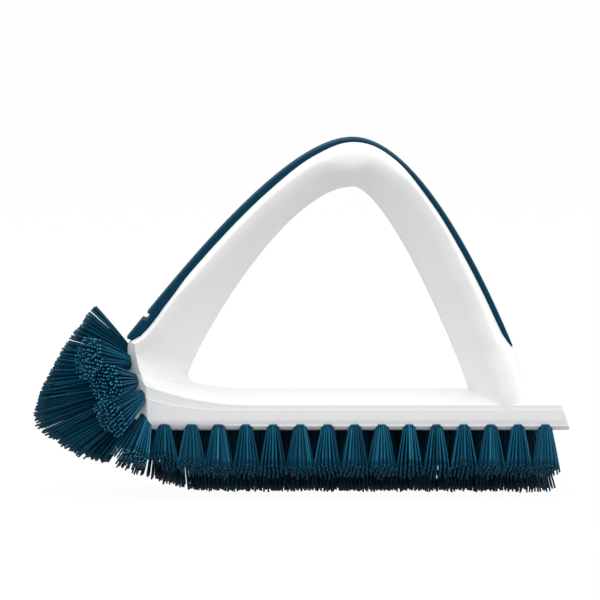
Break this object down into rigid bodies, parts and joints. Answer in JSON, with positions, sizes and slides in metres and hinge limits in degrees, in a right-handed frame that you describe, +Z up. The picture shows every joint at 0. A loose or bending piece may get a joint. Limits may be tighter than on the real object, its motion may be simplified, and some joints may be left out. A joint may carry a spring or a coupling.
{
  "type": "grout brush",
  "caption": "Hand scrub brush for tile joints: an arched loop handle in one moulding with a long narrow tufted base, bristles that run on up the rounded prow, and a soft grip on the crest.",
  "frame": {"origin": "on the ground under the middle of the brush's length and width, with the brush standing on its centre row of bristles", "axes": "+X from the prow towards the heel, +Y towards the brush's right side as its user looks along the prow, +Z up"},
  "size_m": [0.216, 0.0744, 0.1435],
  "materials": {
    "white_plastic": "satin",
    "soft_grip": "matte",
    "bristle": "satin",
    "anchor_wire": "drawn"
  },
  "bodies": {
    "root": {"moulded_body": "white_plastic", "soft_grip": "soft_grip", "left_row_tufts": "bristle", "centre_row_tufts": "bristle", "right_row_tufts": "bristle", "prow_tuft_left_1": "bristle", "prow_tuft_left_2": "bristle", "prow_tuft_left_3": "bristle", "prow_tuft_left_4": "bristle", "prow_tuft_centre_1": "bristle", "prow_tuft_centre_2": "bristle", "prow_tuft_centre_3": "bristle", "prow_tuft_centre_4": "bristle", "prow_tuft_right_1": "bristle", "prow_tuft_right_2": "bristle", "prow_tuft_right_3": "bristle", "prow_tuft_right_4": "bristle", "left_row_anchors": "anchor_wire", "centre_row_anchors": "anchor_wire", "right_row_anchors": "anchor_wire", "prow_anchors": "anchor_wire"}
  },
  "joints": []
}
